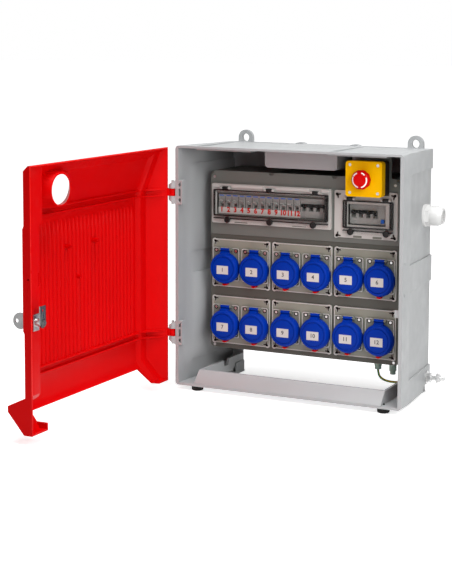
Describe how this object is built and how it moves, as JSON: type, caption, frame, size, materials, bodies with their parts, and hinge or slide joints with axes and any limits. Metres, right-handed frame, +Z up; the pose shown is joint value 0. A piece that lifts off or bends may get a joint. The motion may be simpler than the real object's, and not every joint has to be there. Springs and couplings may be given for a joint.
{
  "type": "portable power distribution box",
  "caption": "Portable power cabinet with hinged door, breaker window covers, lidded sockets, stop button, side cable gland and earth stud.",
  "frame": {"origin": "on the floor under the middle of the cabinet, midway between its front rim and its back wall", "axes": "+Z up, +X to the right seen from the front, +Y from the front rim to the back wall"},
  "size_m": [0.6602, 0.815, 0.5969],
  "materials": {
    "cabinet_grey": "fine grained light grey moulding",
    "door_red": "satin red moulding",
    "foot_rubber": "black rubber",
    "zinc_steel": "bright zinc plated steel",
    "panel_taupe": "warm grey moulding",
    "socket_grey": "pale grey moulding",
    "contact_brass": "plain brass",
    "catch_red": "red moulding",
    "lid_blue": "satin blue moulding",
    "device_white": "off-white moulding",
    "toggle_dark": "dark lever",
    "test_blue": "blue button",
    "window_clear": "clear tinted window plastic",
    "toggle_grey": "light grey lever",
    "knob_black": "black knob",
    "base_dark": "dark grey moulding",
    "stop_yellow": "yellow moulding",
    "stop_red": "red mushroom",
    "gland_white": "white polyamide",
    "gland_green": "pale green polyamide",
    "wire_green": "green and yellow insulation",
    "key_metal": "nickel plated brass"
  },
  "bodies": {
    "cabinet": {"housing": "cabinet_grey", "rubber_feet": "foot_rubber", "lock_keeper": "cabinet_grey", "panel_box": "panel_taupe", "upper_plate": "panel_taupe", "socket_plates": "panel_taupe", "socket_bodies": "socket_grey", "socket_contacts": "contact_brass", "lid_catches": "catch_red", "window_frames": "panel_taupe", "din_rails": "zinc_steel", "breaker_bodies": "device_white", "rcbo_body": "device_white", "stop_base": "base_dark", "stop_cover": "stop_yellow", "side_gland": "gland_white", "bottom_glands": "gland_green", "earth_stud": "zinc_steel", "earth_wire": "wire_green", "screws": "zinc_steel", "hinge_pins": "zinc_steel"},
    "door": {"door": "door_red", "lock_body": "zinc_steel"},
    "lock_turn": {"lock_cam": "key_metal"},
    "lid_01": {"socket_lid_01": "lid_blue"},
    "lid_02": {"socket_lid_02": "lid_blue"},
    "lid_03": {"socket_lid_03": "lid_blue"},
    "lid_04": {"socket_lid_04": "lid_blue"},
    "lid_05": {"socket_lid_05": "lid_blue"},
    "lid_06": {"socket_lid_06": "lid_blue"},
    "lid_07": {"socket_lid_07": "lid_blue"},
    "lid_08": {"socket_lid_08": "lid_blue"},
    "lid_09": {"socket_lid_09": "lid_blue"},
    "lid_10": {"socket_lid_10": "lid_blue"},
    "lid_11": {"socket_lid_11": "lid_blue"},
    "lid_12": {"socket_lid_12": "lid_blue"},
    "cover_a": {"window_cover_a": "window_clear"},
    "cover_b": {"window_cover_b": "window_clear"},
    "knob_1": {"cover_knob_1": "knob_black"},
    "knob_2": {"cover_knob_2": "knob_black"},
    "knob_3": {"cover_knob_3": "knob_black"},
    "knob_4": {"cover_knob_4": "knob_black"},
    "knob_5": {"cover_knob_5": "knob_black"},
    "toggle_01": {"breaker_toggle_01": "toggle_grey"},
    "toggle_02": {"breaker_toggle_02": "toggle_grey"},
    "toggle_03": {"breaker_toggle_03": "toggle_grey"},
    "toggle_04": {"breaker_toggle_04": "toggle_grey"},
    "toggle_05": {"breaker_toggle_05": "toggle_grey"},
    "toggle_06": {"breaker_toggle_06": "toggle_grey"},
    "toggle_07": {"breaker_toggle_07": "toggle_grey"},
    "toggle_08": {"breaker_toggle_08": "toggle_grey"},
    "toggle_09": {"breaker_toggle_09": "toggle_grey"},
    "toggle_10": {"breaker_toggle_10": "toggle_grey"},
    "toggle_11": {"breaker_toggle_11": "toggle_grey"},
    "toggle_12": {"breaker_toggle_12": "toggle_grey"},
    "main_lever": {"main_toggle": "toggle_dark"},
    "rcbo_lever": {"rcbo_toggle": "toggle_dark"},
    "test_key": {"test_button": "test_blue"},
    "stop_stem": {"stop_stem": "base_dark"},
    "stop_head": {"stop_button": "stop_red"}
  },
  "joints": [
    {"name": "door_hinge", "type": "hinge", "parent": "cabinet", "child": "door", "pos_m": [-0.29, -0.12, 0.3], "axis": [0, 0, 1], "range_deg": [-25, 90]},
    {"name": "lock_turn", "type": "hinge", "parent": "door", "child": "lock_turn", "pos_m": [-0.295, -0.6695, 0.251], "axis": [-1, 0, 0], "range_deg": [0, 180]},
    {"name": "socket_lid_01_hinge", "type": "hinge", "parent": "cabinet", "child": "lid_01", "pos_m": [-0.19375, -0.0394, 0.325], "axis": [-1, 0, 0], "range_deg": [0, 100], "stiffness_Nm_per_rad": 0.02, "springref_deg": -34.38},
    {"name": "socket_lid_02_hinge", "type": "hinge", "parent": "cabinet", "child": "lid_02", "pos_m": [-0.11825, -0.0394, 0.325], "axis": [-1, 0, 0], "range_deg": [0, 100], "stiffness_Nm_per_rad": 0.02, "springref_deg": -34.38},
    {"name": "socket_lid_03_hinge", "type": "hinge", "parent": "cabinet", "child": "lid_03", "pos_m": [-0.03775, -0.0394, 0.325], "axis": [-1, 0, 0], "range_deg": [0, 100], "stiffness_Nm_per_rad": 0.02, "springref_deg": -34.38},
    {"name": "socket_lid_04_hinge", "type": "hinge", "parent": "cabinet", "child": "lid_04", "pos_m": [0.03775, -0.0394, 0.325], "axis": [-1, 0, 0], "range_deg": [0, 100], "stiffness_Nm_per_rad": 0.02, "springref_deg": -34.38},
    {"name": "socket_lid_05_hinge", "type": "hinge", "parent": "cabinet", "child": "lid_05", "pos_m": [0.11825, -0.0394, 0.325], "axis": [-1, 0, 0], "range_deg": [0, 100], "stiffness_Nm_per_rad": 0.02, "springref_deg": -34.38},
    {"name": "socket_lid_06_hinge", "type": "hinge", "parent": "cabinet", "child": "lid_06", "pos_m": [0.19375, -0.0394, 0.325], "axis": [-1, 0, 0], "range_deg": [0, 100], "stiffness_Nm_per_rad": 0.02, "springref_deg": -34.38},
    {"name": "socket_lid_07_hinge", "type": "hinge", "parent": "cabinet", "child": "lid_07", "pos_m": [-0.19375, -0.0394, 0.1897], "axis": [-1, 0, 0], "range_deg": [0, 100], "stiffness_Nm_per_rad": 0.02, "springref_deg": -34.38},
    {"name": "socket_lid_08_hinge", "type": "hinge", "parent": "cabinet", "child": "lid_08", "pos_m": [-0.11825, -0.0394, 0.1897], "axis": [-1, 0, 0], "range_deg": [0, 100], "stiffness_Nm_per_rad": 0.02, "springref_deg": -34.38},
    {"name": "socket_lid_09_hinge", "type": "hinge", "parent": "cabinet", "child": "lid_09", "pos_m": [-0.03775, -0.0394, 0.1897], "axis": [-1, 0, 0], "range_deg": [0, 100], "stiffness_Nm_per_rad": 0.02, "springref_deg": -34.38},
    {"name": "socket_lid_10_hinge", "type": "hinge", "parent": "cabinet", "child": "lid_10", "pos_m": [0.03775, -0.0394, 0.1897], "axis": [-1, 0, 0], "range_deg": [0, 100], "stiffness_Nm_per_rad": 0.02, "springref_deg": -34.38},
    {"name": "socket_lid_11_hinge", "type": "hinge", "parent": "cabinet", "child": "lid_11", "pos_m": [0.11825, -0.0394, 0.1897], "axis": [-1, 0, 0], "range_deg": [0, 100], "stiffness_Nm_per_rad": 0.02, "springref_deg": -34.38},
    {"name": "socket_lid_12_hinge", "type": "hinge", "parent": "cabinet", "child": "lid_12", "pos_m": [0.19375, -0.0394, 0.1897], "axis": [-1, 0, 0], "range_deg": [0, 100], "stiffness_Nm_per_rad": 0.02, "springref_deg": -34.38},
    {"name": "window_cover_a_hinge", "type": "hinge", "parent": "cabinet", "child": "cover_a", "pos_m": [-0.078, -0.0407, 0.4705], "axis": [-1, 0, 0], "range_deg": [0, 100]},
    {"name": "window_cover_b_hinge", "type": "hinge", "parent": "cabinet", "child": "cover_b", "pos_m": [0.163, -0.0382, 0.4615], "axis": [-1, 0, 0], "range_deg": [0, 90]},
    {"name": "cover_knob_1_turn", "type": "hinge", "parent": "cover_a", "child": "knob_1", "pos_m": [-0.185, -0.045, 0.3965], "axis": [0, 1, 0], "range_deg": [0, 90]},
    {"name": "cover_knob_2_turn", "type": "hinge", "parent": "cover_a", "child": "knob_2", "pos_m": [-0.076, -0.045, 0.3965], "axis": [0, 1, 0], "range_deg": [0, 90]},
    {"name": "cover_knob_3_turn", "type": "hinge", "parent": "cover_a", "child": "knob_3", "pos_m": [0.033, -0.045, 0.3965], "axis": [0, 1, 0], "range_deg": [0, 90]},
    {"name": "cover_knob_4_turn", "type": "hinge", "parent": "cover_b", "child": "knob_4", "pos_m": [0.123, -0.041, 0.3865], "axis": [0, 1, 0], "range_deg": [0, 90]},
    {"name": "cover_knob_5_turn", "type": "hinge", "parent": "cover_b", "child": "knob_5", "pos_m": [0.209, -0.041, 0.3865], "axis": [0, 1, 0], "range_deg": [0, 90]},
    {"name": "breaker_toggle_01_swing", "type": "hinge", "parent": "cabinet", "child": "toggle_01", "pos_m": [-0.21, -0.019, 0.432], "axis": [1, 0, 0], "range_deg": [0, 70]},
    {"name": "breaker_toggle_02_swing", "type": "hinge", "parent": "cabinet", "child": "toggle_02", "pos_m": [-0.1924, -0.019, 0.432], "axis": [1, 0, 0], "range_deg": [0, 70]},
    {"name": "breaker_toggle_03_swing", "type": "hinge", "parent": "cabinet", "child": "toggle_03", "pos_m": [-0.1748, -0.019, 0.432], "axis": [1, 0, 0], "range_deg": [0, 70]},
    {"name": "breaker_toggle_04_swing", "type": "hinge", "parent": "cabinet", "child": "toggle_04", "pos_m": [-0.1572, -0.019, 0.432], "axis": [1, 0, 0], "range_deg": [0, 70]},
    {"name": "breaker_toggle_05_swing", "type": "hinge", "parent": "cabinet", "child": "toggle_05", "pos_m": [-0.1396, -0.019, 0.432], "axis": [1, 0, 0], "range_deg": [0, 70]},
    {"name": "breaker_toggle_06_swing", "type": "hinge", "parent": "cabinet", "child": "toggle_06", "pos_m": [-0.122, -0.019, 0.432], "axis": [1, 0, 0], "range_deg": [0, 70]},
    {"name": "breaker_toggle_07_swing", "type": "hinge", "parent": "cabinet", "child": "toggle_07", "pos_m": [-0.1044, -0.019, 0.432], "axis": [1, 0, 0], "range_deg": [0, 70]},
    {"name": "breaker_toggle_08_swing", "type": "hinge", "parent": "cabinet", "child": "toggle_08", "pos_m": [-0.0868, -0.019, 0.432], "axis": [1, 0, 0], "range_deg": [0, 70]},
    {"name": "breaker_toggle_09_swing", "type": "hinge", "parent": "cabinet", "child": "toggle_09", "pos_m": [-0.0692, -0.019, 0.432], "axis": [1, 0, 0], "range_deg": [0, 70]},
    {"name": "breaker_toggle_10_swing", "type": "hinge", "parent": "cabinet", "child": "toggle_10", "pos_m": [-0.0516, -0.019, 0.432], "axis": [1, 0, 0], "range_deg": [0, 70]},
    {"name": "breaker_toggle_11_swing", "type": "hinge", "parent": "cabinet", "child": "toggle_11", "pos_m": [-0.034, -0.019, 0.432], "axis": [1, 0, 0], "range_deg": [0, 70]},
    {"name": "breaker_toggle_12_swing", "type": "hinge", "parent": "cabinet", "child": "toggle_12", "pos_m": [-0.0164, -0.019, 0.432], "axis": [1, 0, 0], "range_deg": [0, 70]},
    {"name": "main_toggle_swing", "type": "hinge", "parent": "cabinet", "child": "main_lever", "pos_m": [0.0276, -0.019, 0.432], "axis": [1, 0, 0], "range_deg": [0, 70]},
    {"name": "rcbo_toggle_swing", "type": "hinge", "parent": "cabinet", "child": "rcbo_lever", "pos_m": [0.1502, -0.019, 0.4255], "axis": [1, 0, 0], "range_deg": [0, 70]},
    {"name": "test_button_press", "type": "slide", "parent": "cabinet", "child": "test_key", "axis": [0, 1, 0], "range_m": [0, 0.002], "stiffness_N_per_m": 200, "springref_m": -0.003},
    {"name": "stop_press", "type": "slide", "parent": "cabinet", "child": "stop_stem", "axis": [0, 1, 0], "range_m": [0, 0.005]},
    {"name": "stop_twist", "type": "hinge", "parent": "stop_stem", "child": "stop_head", "pos_m": [0.169, -0.08, 0.511], "axis": [0, 1, 0], "range_deg": [0, 40], "stiffness_Nm_per_rad": 0.02, "springref_deg": -11.46}
  ]
}
